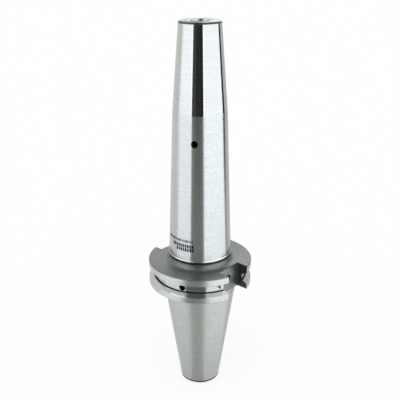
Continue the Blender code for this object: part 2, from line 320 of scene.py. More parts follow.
# %% Finishes of the holder, in the order of the slots on its mesh
STEEL = 0.64
finishes = {
    "polished_cone": machined("polished_cone", STEEL, 0.08, (25.0, 25.0, 1000.0), contrast=0.1,
                              spread=0.02, height=1e-7, anisotropic=0.3, tint=BRIGHT_TINT),
    "ground_cone": machined("ground_cone", STEEL, 0.2, (160.0, 160.0, 1100.0), contrast=0.1,
                            spread=0.05, height=3e-7, anisotropic=0.6, mottle=1.3),
    "nose_face": machined("nose_face", 0.25, 0.3, (900.0, 900.0, 60.0), contrast=0.3,
                          spread=0.08, height=1e-6, anisotropic=0.9),
    "broken_edge": machined("broken_edge", STEEL, 0.22, (60.0, 60.0, 2500.0), contrast=0.08,
                            spread=0.05, height=3e-7, anisotropic=0.5),
    "dark_face": machined("dark_face", 0.212, 0.42, (1100.0, 1100.0, 1100.0), contrast=0.4,
                          spread=0.06, height=6e-6, anisotropic=0.5, metallic=0.9, tint=DARK_TINT),
    # The burnished flare at the foot of the ground cone, painted brighter than the steel as a highlight.
    "burnished_edge": machined("burnished_edge", 0.85, 0.3, (60.0, 60.0, 2500.0), contrast=0.05,
                               spread=0.05, height=3e-7, anisotropic=0.5),
    # Painted shade: near-black steel for the undercuts, the taper's small end and a stretch under the nose
    # chamfer.
    "undercut": machined("undercut", 0.08, 0.5, (600.0, 600.0, 600.0), contrast=0.2, spread=0.05,
                         height=2e-6),
    # Darker steel on the flange's back chamfer; on the neck under the flange the same dark is painted shade.
    "cut_edge": machined("cut_edge", 0.3, 0.35, (300.0, 300.0, 2200.0), contrast=0.1, spread=0.05,
                         height=1e-6),
    "turned_rim": machined("turned_rim", 0.69, 0.32, (60.0, 60.0, 1400.0), contrast=0.2,
                           spread=0.05, height=8e-7, anisotropic=0.2, tint=WARM_TINT),
    "turned_groove": machined("turned_groove", STEEL, 0.15, (60.0, 60.0, 1600.0), contrast=0.12,
                              spread=0.04, height=5e-7, anisotropic=0.3),
    "nose_chamfer": machined("nose_chamfer", 0.115, 0.42, (200.0, 200.0, 2000.0), contrast=0.25,
                             spread=0.06, height=5e-7, anisotropic=0.3),
    # Painted shade: near black for the vent's countersink and the hole in the slot's floor.
    "painted_hole_shade": machined("painted_hole_shade", 0.03, 0.5, (600.0, 600.0, 600.0), contrast=0.2,
                               spread=0.05, height=1e-6),
    "ground_bore": machined("ground_bore", 0.8, 0.37, (30.0, 30.0, 2400.0), contrast=0.05,
                            spread=0.03, height=3e-7, anisotropic=0.92),
    # The slots' milled walls, painted dark as the shade inside the slots.
    "milled_wall_painted_shade": machined("milled_wall_painted_shade", 0.1, 0.45, (260.0, 260.0, 2200.0), contrast=0.2,
                            spread=0.06, height=2e-6),
    "milled_slot": machined("milled_slot", 0.265, 0.42, (1200.0, 200.0, 200.0), contrast=0.3,
                            spread=0.06, height=3e-6, anisotropic=0.3),
    "satin_taper": machined("satin_taper", STEEL, 0.36, (200.0, 200.0, 1200.0), contrast=0.16,
                            spread=0.06, height=1.5e-6, anisotropic=0.5, tint=WARM_TINT),
    "bored_steel": machined("bored_steel", 0.5, 0.3, (80.0, 80.0, 2600.0), contrast=0.1,
                            spread=0.06, height=1e-6, anisotropic=0.4),
    "drilled_steel": machined("drilled_steel", 0.3, 0.4, (400.0, 400.0, 400.0), contrast=0.15,
                              spread=0.08, height=2e-6),
}
slot_of_finish = {name: index for index, name in enumerate(finishes)}
print(len(finishes), "finishes on the holder")

# %% [markdown]
# The outline
#
# A turned part is an outline spun round its axis, and a drawing gives that outline by its
# corners. Each corner here is a radius, a height, the finish of the stretch that follows it and
# the radius that the tool or the deburring stone leaves. Sharp corners catch no light at all, so
# even a tenth of a millimetre matters in a picture of polished steel.

# %% Radii and heights that follow from the sizes
STONE = 0.0001
EASED_EDGE = 0.00025
TOOL_NOSE = 0.0004
TAPER_END_RADIUS = GAUGE_RADIUS - GAUGE_Z * TAPER_RATIO / 2
BREAK_RADIUS = NOSE_RADIUS + (NOSE_Z - CONE_BREAK_Z) * math.tan(NOSE_HALF_ANGLE)
NECK_RADIUS = BODY_FOOT_RADIUS - COLLAR_STEP
FOOT_Z = FLANGE_FACE_Z + COLLAR_FILLET + COLLAR_LAND + COLLAR_STEP
GROUND_END_Z = FOOT_Z + WHEEL_FLARE_HEIGHT
GROOVE_FLOOR_RADIUS = FLANGE_RADIUS - GROOVE_DEPTH
GROOVE_HALF_FLOOR = GROOVE_HALF_MOUTH - GROOVE_DEPTH * math.tan(GROOVE_HALF_ANGLE)
GROOVE_LOW_Z = GROOVE_Z - GROOVE_HALF_FLOOR - GROOVE_UNDERCUT_HEIGHT - GROOVE_LOWERED
print("the cones meet at a radius of", round(1000 * BREAK_RADIUS, 2), "mm")


def taper_radius(height):
    """Radius of the spindle taper at a height."""
    return TAPER_END_RADIUS + height * TAPER_RATIO / 2


def nose_radius(height):
    """Radius of the nose cone at a height."""
    return NOSE_RADIUS + (NOSE_Z - height) * math.tan(NOSE_HALF_ANGLE)


def body_radius(height):
    """Radius of the ground cone at a height."""
    share = (height - GROUND_END_Z) / (CONE_BREAK_Z - GROUND_END_Z)
    return BODY_FOOT_RADIUS + share * (BREAK_RADIUS - BODY_FOOT_RADIUS)


# %% [markdown]
# The outside
#
# The corners run from the nose face down to the small end. One corner would do where the cones
# meet, but smooth shading would then bend the light along both of them. A corner a little above
# that place and one a little below it keep the bend inside a narrow stretch.

# %% Corners of the outside
CHAMFER_Z = NOSE_Z - NOSE_CHAMFER
POLISHED_TOP_Z = CHAMFER_Z - NOSE_SHADE
UNDERCUT_LOW_Z = FOOT_Z - COLLAR_STEP - FOOT_UNDERCUT_HEIGHT
COAT_END_Z = FLANGE_FACE_Z - FLANGE_CHAMFER - DARK_OVER_RIM
GROOVE_LOW_MOUTH_Z = GROOVE_Z - GROOVE_HALF_MOUTH - GROOVE_LOWERED
GROOVE_LOW_RADIUS = GROOVE_FLOOR_RADIUS + GROOVE_UNDERCUT_HEIGHT / math.tan(GROOVE_HALF_ANGLE)
RELIEVED_RADIUS = GAUGE_RADIUS - NECK_RELIEF
SATIN_END_Z = TAPER_END_CHAMFER + TAPER_END_SHADE

outside = [
    (SHANK_BORE_RADIUS + BORE_CHAMFER, NOSE_Z, "nose_face", STONE),
    (NOSE_RADIUS - NOSE_CHAMFER, NOSE_Z, "nose_chamfer", STONE),
    # The stretch under the nose chamfer is painted dark as shade.
    (nose_radius(CHAMFER_Z), CHAMFER_Z, "undercut", STONE),
    (nose_radius(POLISHED_TOP_Z), POLISHED_TOP_Z, "polished_cone", 0.0),
    (nose_radius(CONE_BREAK_Z + BREAK_LINE), CONE_BREAK_Z + BREAK_LINE, "broken_edge", 0.0),
    (body_radius(CONE_BREAK_Z - BREAK_LINE), CONE_BREAK_Z - BREAK_LINE, "ground_cone", 0.0),
    # The wheel's flare is painted brighter than the steel as a highlight.
    (BODY_FOOT_RADIUS, GROUND_END_Z, "burnished_edge", 0.0),
    # The step and the undercut under the foot are painted near black as shade.
    (BODY_FOOT_RADIUS + WHEEL_FLARE, FOOT_Z, "undercut", 0.0),
    (NECK_RADIUS - FOOT_UNDERCUT, FOOT_Z - COLLAR_STEP, "undercut", 0.0),
    (NECK_RADIUS - FOOT_UNDERCUT, UNDERCUT_LOW_Z, "undercut", STONE),
    (NECK_RADIUS, UNDERCUT_LOW_Z, "dark_face", 0.0),
    (NECK_RADIUS, FLANGE_FACE_Z, "dark_face", FILLET_LEFT),
    (FLANGE_RADIUS - FLANGE_CHAMFER, FLANGE_FACE_Z, "dark_face", STONE),
    (FLANGE_RADIUS, FLANGE_FACE_Z - FLANGE_CHAMFER, "dark_face", STONE),
    (FLANGE_RADIUS, COAT_END_Z, "turned_rim", 0.0),
    (FLANGE_RADIUS, GROOVE_Z + GROOVE_HALF_MOUTH, "turned_groove", STONE),
    (GROOVE_FLOOR_RADIUS, GROOVE_Z + GROOVE_HALF_FLOOR, "turned_groove", TOOL_NOSE),
    # The groove's undercut is painted near black as shade.
    (GROOVE_FLOOR_RADIUS, GROOVE_LOW_Z + GROOVE_UNDERCUT_HEIGHT, "undercut", 0.0),
    (GROOVE_FLOOR_RADIUS - GROOVE_UNDERCUT, GROOVE_LOW_Z + GROOVE_UNDERCUT_HEIGHT, "undercut", 0.0),
    (GROOVE_FLOOR_RADIUS - GROOVE_UNDERCUT, GROOVE_LOW_Z, "undercut", 0.0),
    (GROOVE_LOW_RADIUS, GROOVE_LOW_Z, "turned_groove", 0.0),
    (FLANGE_RADIUS, GROOVE_LOW_MOUTH_Z, "turned_rim", EASED_EDGE),
    (FLANGE_RADIUS, FLANGE_BACK_Z + FLANGE_CHAMFER, "cut_edge", STONE),
    (FLANGE_RADIUS - FLANGE_CHAMFER, FLANGE_BACK_Z, "turned_rim", STONE),
    # The neck just under the flange is painted dark as shade, NECK_SHADE long.
    (RELIEVED_RADIUS, FLANGE_BACK_Z, "cut_edge", TOOL_NOSE),
    (RELIEVED_RADIUS, FLANGE_BACK_Z - NECK_SHADE, "turned_rim", 0.0),
    (RELIEVED_RADIUS, GAUGE_Z + NECK_RELIEF, "turned_rim", 0.0),
    (GAUGE_RADIUS, GAUGE_Z, "satin_taper", STONE),
    # The taper's small end and its chamfer are painted near black as shade.
    (taper_radius(SATIN_END_Z), SATIN_END_Z, "undercut", 0.0),
    (taper_radius(TAPER_END_CHAMFER), TAPER_END_CHAMFER, "undercut", STONE),
    (TAPER_END_RADIUS - TAPER_END_CHAMFER, 0.0, "turned_rim", STONE),
]
print(len(outside), "corners outside")

# %% [markdown]
# The stepped bore
#
# The outline goes on inside, from the small end up to the nose, so that one spin gives the wall of
# the whole bore as well. A drill has a point, so each drilled step ends in a cone. The threads are
# left plain here and get their ridges later.

# %% Corners of the stepped bore
def drill_point_height(outer, inner=0.0):
    """Height of the cone that a drill leaves between two radii."""
    return (outer - inner) / math.tan(DRILL_POINT / 2)


RELIEF_RADIUS = SHANK_BORE_RADIUS + RELIEF_STEP
RELIEF_FLOOR_Z = VENT_Z - VENT_RADIUS - VENT_ABOVE_FLOOR
STOP_HOLE_TOP_Z = RELIEF_FLOOR_Z - drill_point_height(RELIEF_RADIUS, STOP_HOLE_RADIUS)
STOP_HOLE_FLOOR_Z = screw_low.z - STOP_RUNOUT
KNOB_POINT_Z = KNOB_DEPTH + drill_point_height(KNOB_RADIUS, COOLANT_RADIUS)
COOLANT_TOP_Z = STOP_HOLE_FLOOR_Z - drill_point_height(STOP_HOLE_RADIUS, COOLANT_RADIUS)

inside = [
    (PILOT_RADIUS + KNOB_MOUTH_CHAMFER, 0.0, "broken_edge", STONE),
    (PILOT_RADIUS, KNOB_MOUTH_CHAMFER, "bored_steel", STONE),
    (PILOT_RADIUS, PILOT_DEPTH, "bored_steel", 0.0),
    (KNOB_RADIUS, PILOT_DEPTH + PILOT_RADIUS - KNOB_RADIUS, "bored_steel", 0.0),
    (KNOB_RADIUS, KNOB_DEPTH, "drilled_steel", 0.0),
    (COOLANT_RADIUS, KNOB_POINT_Z, "drilled_steel", STONE),
    (COOLANT_RADIUS, COOLANT_TOP_Z, "drilled_steel", STONE),
    (STOP_HOLE_RADIUS, STOP_HOLE_FLOOR_Z, "bored_steel", 0.0),
    (STOP_HOLE_RADIUS, STOP_HOLE_TOP_Z, "drilled_steel", STONE),
    (RELIEF_RADIUS, RELIEF_FLOOR_Z, "bored_steel", 0.0),
    (RELIEF_RADIUS, NOSE_Z - SHANK_BORE_DEPTH - RELIEF_STEP, "bored_steel", 0.0),
    (SHANK_BORE_RADIUS, NOSE_Z - SHANK_BORE_DEPTH, "ground_bore", STONE),
    (SHANK_BORE_RADIUS, NOSE_Z - BORE_CHAMFER, "ground_bore", STONE),
]
print(len(inside), "corners inside")

# %% [markdown]
# Rounding the corners
#
# The Bevel modifier could round the edges after the outline is spun, but it takes one width for
# all of them. Here the big fillet is 3 mm and the stoned edges are a tenth, so the outline itself
# is rounded, where a fillet is only an arc between two lines. A small round takes less than half
# of each line, which leaves room for its neighbour.

# %% Round a corner of an outline
ARC_STEP = math.radians(12)
ALMOST_STRAIGHT = math.radians(1)
SMALL_ROUND_SHARE = 0.45


def rounded_corner(before, corner, after, radius):
    """The points of the arc that replaces a corner, or the corner itself."""
    to_before = Vector(before) - Vector(corner)
    to_after = Vector(after) - Vector(corner)
    opening = to_before.angle(to_after)
    bend = math.pi - opening
    if radius <= 0.0 or bend < ALMOST_STRAIGHT:
        return [tuple(corner)]
    share = SMALL_ROUND_SHARE if radius <= TOOL_NOSE else 1.0
    reach = min(radius / math.tan(opening / 2), share * to_before.length, share * to_after.length)
    arc_radius = reach * math.tan(opening / 2)
    middle = (to_before.normalized() + to_after.normalized()).normalized()
    centre = Vector(corner) + middle * (arc_radius / math.sin(opening / 2))
    start = Vector(corner) + to_before.normalized() * reach - centre
    end = Vector(corner) + to_after.normalized() * reach - centre
    steps = max(2, math.ceil(bend / ARC_STEP))
    sweep = math.atan2(start.x * end.y - start.y * end.x, start.dot(end))
    points = []
    for step in range(steps + 1):
        turn = Matrix.Rotation(sweep * step / steps, 2)
        points.append(tuple(centre + turn @ start))
    return points


def rounded_outline(corners):
    """Points of a closed outline, and the finish of the stretch after each point.

    A small round keeps the finish before it, and a fillet takes its own.
    """
    points, stretch = [], []
    for index, (radius, height, finish, easing) in enumerate(corners):
        before = corners[index - 1]
        after = corners[(index + 1) % len(corners)]
        arc = rounded_corner(before[:2], (radius, height), after[:2], easing)
        for place, point in enumerate(arc):
            points.append(point)
            stretch.append(finish if place == len(arc) - 1 or easing > TOOL_NOSE else before[2])
    return points, stretch


outline, stretch_finish = rounded_outline(outside + inside)
print(len(outline), "points in the rounded outline")

# %% [markdown]
# Spinning the outline
#
# A Screw modifier would turn the outline into a solid as well, but it gives every face one
# material. Making the rings here lets each stretch of the outline carry the finish of its tool.

# %% Spin an outline into a closed mesh
TURNING_STEPS = 192


def spin(name, points, finish_of_stretch, slots, steps=TURNING_STEPS):
    """A closed mesh of an outline spun round Z, with a finish for each stretch."""
    shape = bmesh.new()
    rings = []
    for radius, height in points:
        ring = []
        for step in range(steps):
            angle = 2 * math.pi * step / steps
            ring.append(shape.verts.new((radius * math.cos(angle), radius * math.sin(angle), height)))
        rings.append(ring)
    for index, ring in enumerate(rings):
        following = rings[(index + 1) % len(rings)]
        for step in range(steps):
            across = (step + 1) % steps
            face = shape.faces.new((ring[step], following[step], following[across], ring[across]))
            face.material_index = slots[finish_of_stretch[index]]
    mesh = bpy.data.meshes.new(name)
    shape.to_mesh(mesh)
    shape.free()
    piece = bpy.data.objects.new(name, mesh)
    bpy.context.scene.collection.objects.link(piece)
    return piece


holder = spin("ground_holder", outline, stretch_finish, slot_of_finish)
for material in finishes.values():
    holder.data.materials.append(material)
print("spun", len(holder.data.polygons), "faces")

# %% [markdown]
# Cutting the slots and drilling the holes
#
# On the machine the blank is turned first and milled and drilled after. A Boolean does the same:
# each cutter has the shape that the tool sweeps and carries the finish that the tool leaves, or the
# painted shade of a slot's wall or a hole, so the new faces come out with that finish. The cutters
# are thrown away once the cuts are applied.

# %% A solid from closed sections
def solid(name, shape, own_finishes):
    """An object from a bmesh, facing outwards, with its finishes in their order."""
    bmesh.ops.recalc_face_normals(shape, faces=shape.faces)
    if shape.calc_volume(signed=True) < 0:
        bmesh.ops.reverse_faces(shape, faces=shape.faces)
    mesh = bpy.data.meshes.new(name)
    shape.to_mesh(mesh)
    shape.free()
    for finish in own_finishes:
        mesh.materials.append(finishes[finish])
    made = bpy.data.objects.new(name, mesh)
    bpy.context.scene.collection.objects.link(made)
    return made


def skin(shape, sections, finish_at):
    """Join sections of as many corners into a closed solid, with a finish by row and corner."""
    for row, (near, far) in enumerate(zip(sections, sections[1:])):
        for corner in range(len(near)):
            following = (corner + 1) % len(near)
            face = shape.faces.new((near[corner], near[following], far[following], far[corner]))
            face.material_index = finish_at(row, corner)
    shape.faces.new(sections[0])
    shape.faces.new(reversed(sections[-1]))


# %% [markdown]
# The drive slots
#
# A spindle's keys drive the holder by these two slots, and one is deeper than the other, which
# marks the holder's way round. A plain block could cut them. This one flares above and below the
# flange and outside its rim, and that breaks the slot's edges in the same cut, the floor's by a
# tenth as much as the walls'. The walls stand a little outside the standard width, where the
# picture shows them.

# %% What an end mill sweeps
REACH = 0.002
WALL_OUTSIDE = 0.0004
SLOT_FACE_BREAK = 0.0004
SLOT_BACK_BREAK = 0.0006
FLOOR_BREAK_SHARE = 0.1
RIM_BREAK = 0.0001
MILL_CORNER = 0.0003
# The walls' finish is painted dark as the shade inside the slots.
MILL_FINISHES = ["milled_slot", "milled_wall_painted_shade"]
FLOOR_FINISH, WALL_FINISH = range(2)


def mill_finish(row, corner):
    """The flare below the slot leaves the floor's finish, and the one above it the walls'."""
    sides = 7 * [WALL_FINISH] + [FLOOR_FINISH]
    return (FLOOR_FINISH, sides[corner], WALL_FINISH)[row]


def end_mill(name, side, floor):
    """What an end mill sweeps along one drive slot, flared where the edges are broken."""
    rim_x = math.sqrt(FLANGE_RADIUS ** 2 - (SLOT_WIDTH / 2) ** 2) - RIM_BREAK
    far_x = FLANGE_RADIUS + REACH
    levels = [(FLANGE_BACK_Z - REACH, SLOT_BACK_BREAK + REACH), (FLANGE_BACK_Z + SLOT_BACK_BREAK, 0.0),
              (FLANGE_FACE_Z - SLOT_FACE_BREAK, 0.0), (FLANGE_FACE_Z + REACH, SLOT_FACE_BREAK + REACH)]
    shape = bmesh.new()
    sections = []
    for height, wider in levels:
        half = SLOT_WIDTH / 2 + WALL_OUTSIDE + wider
        mouth = half + far_x - rim_x
        near = floor - wider * FLOOR_BREAK_SHARE
        plan = [(near, MILL_CORNER - half), (near + MILL_CORNER, -half), (rim_x, -half), (far_x, -mouth),
                (far_x, mouth), (rim_x, half), (near + MILL_CORNER, half), (near, half - MILL_CORNER)]
        sections.append([shape.verts.new((side * x, side * y, height)) for x, y in plan])
    skin(shape, sections, mill_finish)
    return solid(name, shape, MILL_FINISHES)


# %% [markdown]
# The small holes
#
# A vent lets the air out of the bore when a tool goes in, and the small holes in the groove and in
# the deep slot's floor balance the holder. A cylinder would cut a flat floor. A drill leaves a
# cone, and a countersink is one too, so the cutter is a turned profile. The vent's countersink and
# the hole in the slot's floor are painted near black as the shade in a hole.

# %% What a twist drill leaves
DRILL_STEPS = 48
DRILL_TIP_RADIUS = 1e-6


def twist_drill(name, radius, depth, surface_radius, height, angle, countersink=0.0, finish="drilled_steel"):
    """A drill that enters a round surface square to it, with a countersink if one is wanted."""
    mouth = radius + (countersink + REACH if countersink else 0.0)
    tip = (DRILL_TIP_RADIUS, -depth - drill_point_height(radius))
    profile = [(mouth, REACH), (radius, -countersink), (radius, -depth), tip]
    turns = [2 * math.pi * step / DRILL_STEPS for step in range(DRILL_STEPS)]
    shape = bmesh.new()
    sections = []
    for distance, along in profile:
        sections.append([shape.verts.new((distance * math.cos(turn), distance * math.sin(turn), along))
                         for turn in turns])
    # The countersink's faces are painted near black as the shade inside the hole.
    skin(shape, sections, lambda row, corner: int(row == 0 and countersink > 0.0))
    outward = Vector((math.cos(angle), math.sin(angle), 0.0))
    place = Matrix.Translation(outward * surface_radius + Vector((0.0, 0.0, height)))
    shape.transform(place @ outward.to_track_quat("Z", "Y").to_matrix().to_4x4())
    return solid(name, shape, [finish, "painted_hole_shade"])


# %% The cutters
vent_surface = body_radius(VENT_Z)
cutters = [
    end_mill("deep_slot_mill", 1, DEEP_SLOT_FLOOR),
    end_mill("shallow_slot_mill", -1, SHALLOW_SLOT_FLOOR),
    twist_drill("vent_drill", VENT_RADIUS, vent_surface - RELIEF_RADIUS / 2, vent_surface, VENT_Z, VENT_ANGLE,
                VENT_COUNTERSINK),
    twist_drill("balance_drill", BALANCE_HOLE_RADIUS, BALANCE_HOLE_DEPTH, GROOVE_FLOOR_RADIUS, GROOVE_Z,
                BALANCE_HOLE_ANGLE),
    twist_drill("spotting_drill", BALANCE_SPOT_RADIUS, BALANCE_SPOT_DEPTH, GROOVE_FLOOR_RADIUS, GROOVE_Z,
                BALANCE_SPOT_ANGLE, finish="turned_groove"),
    # The hole in the slot's floor is painted near black all through, as shade.
    twist_drill("slot_floor_drill", SLOT_HOLE_RADIUS, SLOT_HOLE_DEPTH, DEEP_SLOT_FLOOR, SLOT_HOLE_Z, 0.0,
                finish="painted_hole_shade"),
]
print("cutters:", [tool.name for tool in cutters])

# %% [markdown]
# Threads
#
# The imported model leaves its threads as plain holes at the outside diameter. A thread is a ridge
# with a 60 degree section that climbs one pitch for each turn. It could be drawn by a Screw
# modifier, but that ends it with a blunt face, and a real ridge fades out as the tap or the die
# backs off. So the section is walked round the helix here and shrinks at both ends. Its depth and
# the halves of its base are standard shares of the pitch.

# %% A helical ridge
RIDGE_STEPS = 48
FADE_TURNS = 0.4
FADED_RIDGE = 0.02
RIDGE_SUNK = 0.00008
THREAD_HALF_ANGLE = math.radians(30)
THREAD_DEPTH_SHARE = 0.5413
HOLE_RIDGE_HALF = 7 / 16
SCREW_RIDGE_HALF = 3 / 8


def thread_ridge(name, wall_radius, crest_radius, pitch, bottom, top, finish):
    """A ridge of thread from a wall to its crest, pointing into a hole or out of a screw."""
    side = -1 if crest_radius < wall_radius else 1
    depth = abs(crest_radius - wall_radius)
    half_base = (HOLE_RIDGE_HALF if side < 0 else SCREW_RIDGE_HALF) * pitch
    half_crest = half_base - depth * math.tan(THREAD_HALF_ANGLE)
    steps = int((top - bottom - 2 * half_base) / pitch * RIDGE_STEPS)
    shape = bmesh.new()
    sections = []
    for step in range(steps + 1):
        angle = 2 * math.pi * step / RIDGE_STEPS
        height = bottom + half_base + pitch * step / RIDGE_STEPS
        full = min(1.0, step / (FADE_TURNS * RIDGE_STEPS), (steps - step) / (FADE_TURNS * RIDGE_STEPS))
        crest = wall_radius + side * depth * max(full, FADED_RIDGE)
        wall = wall_radius - side * RIDGE_SUNK
        corners = [(wall, -half_base), (crest, -half_crest), (crest, half_crest), (wall, half_base)]
        sections.append([shape.verts.new((radius * math.cos(angle), radius * math.sin(angle), height + rise))
                         for radius, rise in corners])
    skin(shape, sections, lambda row, corner: 0)
    ridge = solid(name, shape, [finish])
    print(name, "has", round(steps / RIDGE_STEPS, 1), "turns")
    return ridge


# %% The threads of the two holes
KNOB_TAP_RUNOUT = 0.002
STOP_TAP_RUNOUT = 0.0005
HOLE_THREAD_START = screw_low.z - STOP_PITCH
KNOB_CREST_RADIUS = KNOB_RADIUS - THREAD_DEPTH_SHARE * KNOB_PITCH
STOP_CREST_RADIUS = STOP_HOLE_RADIUS - THREAD_DEPTH_SHARE * STOP_PITCH

knob_thread = thread_ridge("knob_thread", KNOB_RADIUS, KNOB_CREST_RADIUS, KNOB_PITCH, PILOT_DEPTH,
                           KNOB_DEPTH - KNOB_TAP_RUNOUT, "bored_steel")
stop_thread = thread_ridge("stop_thread", STOP_HOLE_RADIUS, STOP_CREST_RADIUS, STOP_PITCH,
                           HOLE_THREAD_START - HOLE_RIDGE_HALF * STOP_PITCH,
                           STOP_HOLE_TOP_Z - STOP_TAP_RUNOUT, "bored_steel")

# %% [markdown]
# Applying the cuts
#
# The exact solver is slower than the others and the only one that copes with a ridge that runs
# along a wall. Each cutter hands its finish on to the faces that it leaves.

# %% Apply the Booleans
def apply_booleans(piece, removed, added):
    """Cut and join the tools' shapes, then delete the tools."""
    for operation, tools in (("DIFFERENCE", removed), ("UNION", added)):
        for tool in tools:
            step = piece.modifiers.new(tool.name, "BOOLEAN")
            step.operation = operation
            step.solver = "EXACT"
            step.material_mode = "TRANSFER"
            step.object = tool
    evaluated = piece.evaluated_get(bpy.context.evaluated_depsgraph_get())
    mesh = bpy.data.meshes.new_from_object(evaluated)
    piece.modifiers.clear()
    piece.data = mesh
    for tool in removed + added:
        bpy.data.objects.remove(tool, do_unlink=True)
    print(piece.name, "has", len(mesh.polygons), "faces after", len(removed) + len(added), "Booleans")


apply_booleans(holder, cutters, [knob_thread, stop_thread])

# %% [markdown]
# Shading the rounds
#
# Smooth shading blends the direction of light over neighbouring faces, and a narrow stoned edge
# would bend it all along a cone. Weighting each face by its size stops that. Edges that turn by
# more than 28 degrees stay crisp.

# %% Shade the rounds
SHARP_ANGLE = math.radians(28)
FULL_FACE_WEIGHT = 100


def shade(piece):
    """Smooth rounds and crisp corners, with each large face keeping its own direction."""
    piece.data.shade_smooth()
    piece.data.set_sharp_from_angle(angle=SHARP_ANGLE)
    weighting = piece.modifiers.new("weighting", "WEIGHTED_NORMAL")
    weighting.keep_sharp = True
    weighting.weight = FULL_FACE_WEIGHT
    evaluated = piece.evaluated_get(bpy.context.evaluated_depsgraph_get())
    mesh = bpy.data.meshes.new_from_object(evaluated)
    piece.modifiers.clear()
    piece.data = mesh


shade(holder)
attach(holder, "holder")
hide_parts("holder_body")
print("holder size in mm:", [round(1000 * value, 2) for value in holder.dimensions])

# %% [markdown]
# The length stop screw
#
# The shank of the tool rests on a hollow screw in the bore, which is turned with a key to set how
# far the tool stands out. Its thread is half a pitch off the thread of the hole, so the ridges of
# the one lie in the gaps of the other, and they still do after ten whole turns of travel.

# %% Outline of the stop screw
SCREW_RADIUS = screw_high.x
SCREW_CLEARANCE = 0.0001
SCREW_CORE_RADIUS = STOP_CREST_RADIUS - SCREW_CLEARANCE
SCREW_CHAMFER = 0.0008
SCREW_COOLANT_RADIUS = 0.004 / 2

core_chamfer = SCREW_CHAMFER - (SCREW_RADIUS - SCREW_CORE_RADIUS)
screw_outline = [
    (SCREW_COOLANT_RADIUS, screw_high.z, "black_oxide", 0.0),
    (SCREW_CORE_RADIUS - core_chamfer, screw_high.z, "black_oxide", STONE),
    (SCREW_CORE_RADIUS, screw_high.z - core_chamfer, "black_oxide", STONE),
    (SCREW_CORE_RADIUS, screw_low.z + core_chamfer, "black_oxide", STONE),
    (SCREW_CORE_RADIUS - core_chamfer, screw_low.z, "black_oxide", STONE),
    (SCREW_COOLANT_RADIUS, screw_low.z, "black_oxide", 0.0),
]
finishes["black_oxide"] = machined("black_oxide", 0.07, 0.36, (300.0, 300.0, 1500.0), contrast=0.25,
                                   spread=0.08, height=2e-6)
print("stop screw is", round(1000 * (screw_high.z - screw_low.z), 2), "mm long")

# %% [markdown]
# The key sockets
#
# A six-sided key turns the screw from the nose or, through the coolant bore, from behind. A
# cylinder primitive with six sides would make a plain socket. Three sections make one with an
# eased mouth as well.

# %% Key sockets in both ends of the screw
SOCKET_WIDTH = 0.005
SOCKET_DEPTH = 0.005
SOCKET_MOUTH = 0.0003


def hex_broach(name, end_z):
    """A six-sided key socket in an end face, with its mouth eased."""
    corner_radius = SOCKET_WIDTH / math.sqrt(3)
    mouth_radius = corner_radius + 2 * SOCKET_MOUTH
    levels = [(-SOCKET_DEPTH, corner_radius), (-SOCKET_MOUTH, corner_radius), (SOCKET_MOUTH, mouth_radius)]
    side = 1 if end_z == screw_high.z else -1
    turns = [math.pi * corner / 3 for corner in range(6)]
    shape = bmesh.new()
    sections = []
    for rise, reach in levels:
        height = end_z + side * rise
        sections.append([shape.verts.new((reach * math.cos(turn), reach * math.sin(turn), height))
                         for turn in turns])
    skin(shape, sections, lambda row, corner: 0)
    return solid(name, shape, ["black_oxide"])


# %% Make the stop screw
CREST_EASE = 0.00002
SCREW_STEPS = 96
SCREW_THREAD_START = screw_low.z + 1.5 * STOP_PITCH

stop_screw = spin("threaded_stop_screw", *rounded_outline(screw_outline), {"black_oxide": 0}, SCREW_STEPS)
stop_screw.data.materials.append(finishes["black_oxide"])
screw_thread = thread_ridge("screw_thread", SCREW_CORE_RADIUS, SCREW_RADIUS - CREST_EASE, STOP_PITCH,
                            SCREW_THREAD_START - SCREW_RIDGE_HALF * STOP_PITCH,
                            screw_high.z - SCREW_CHAMFER, "black_oxide")
apply_booleans(stop_screw, [hex_broach("nose_broach", screw_high.z), hex_broach("rear_broach", screw_low.z)],
               [screw_thread])
shade(stop_screw)
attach(stop_screw, "stop_screw")
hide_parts("length_stop_screw")
print("stop screw size in mm:", [round(1000 * value, 2) for value in stop_screw.dimensions])

# %% [markdown]
# Where the camera stands
#
# The marking faces the camera, and so does the studio that the steel mirrors, so both are placed
# by bearings from it. The camera's place comes first for that reason. It was worked back from the
# outline in the picture, with the taper and the flange at their standard sizes.

# %% Place and bearing of the camera
CAMERA_PLACE = Vector((0.24283, -0.26931, 0.26670))
CAMERA_BEARING = math.atan2(CAMERA_PLACE.y, CAMERA_PLACE.x)
print("camera at", round(math.degrees(CAMERA_BEARING), 1), "degrees round the holder")

# %% [markdown]
# A plain marking
#
# A laser leaves a dark skin on ground steel. Here it is only a row of fine ticks over two rows of
# bars, which say nothing. An image on the surface would do, but it would need a file of its own.
# Each mark here is a thin curved patch that follows the cone, as a real one does.

# %% One mark, and a row of them
MARK_PROUD = 0.00003
MARK_SUNK = 0.00001


def mark(shape, bearing, width, bottom, top):
    """One curved patch: its middle as degrees right of the camera, its width and its two heights."""
    half = width / 2 / body_radius(bottom)
    middle = CAMERA_BEARING + math.radians(bearing)
    layers = []
    for lift in (-MARK_SUNK, MARK_PROUD):
        layer = []
        for angle, height in ((middle - half, bottom), (middle + half, bottom), (middle + half, top),
                              (middle - half, top)):
            radius = body_radius(height) + lift
            layer.append(shape.verts.new((radius * math.cos(angle), radius * math.sin(angle), height)))
        layers.append(layer)
    skin(shape, layers, lambda row, corner: 0)


def row_of_marks(shape, count, first, spacing, widths, bottom, top):
    """A row of marks from a first bearing, with widths that follow one another in turn."""
    for place in range(count):
        mark(shape, first + spacing * place, widths[place % len(widths)], bottom, top)


# %% Ticks and bars on the body
FINE_TICK, BOLD_TICK = 0.0005, 0.0008
THIN_BAR, THICK_BAR = 0.0010, 0.0012
TICK_SPACING = 3.0
BAR_SPACING = 4.7

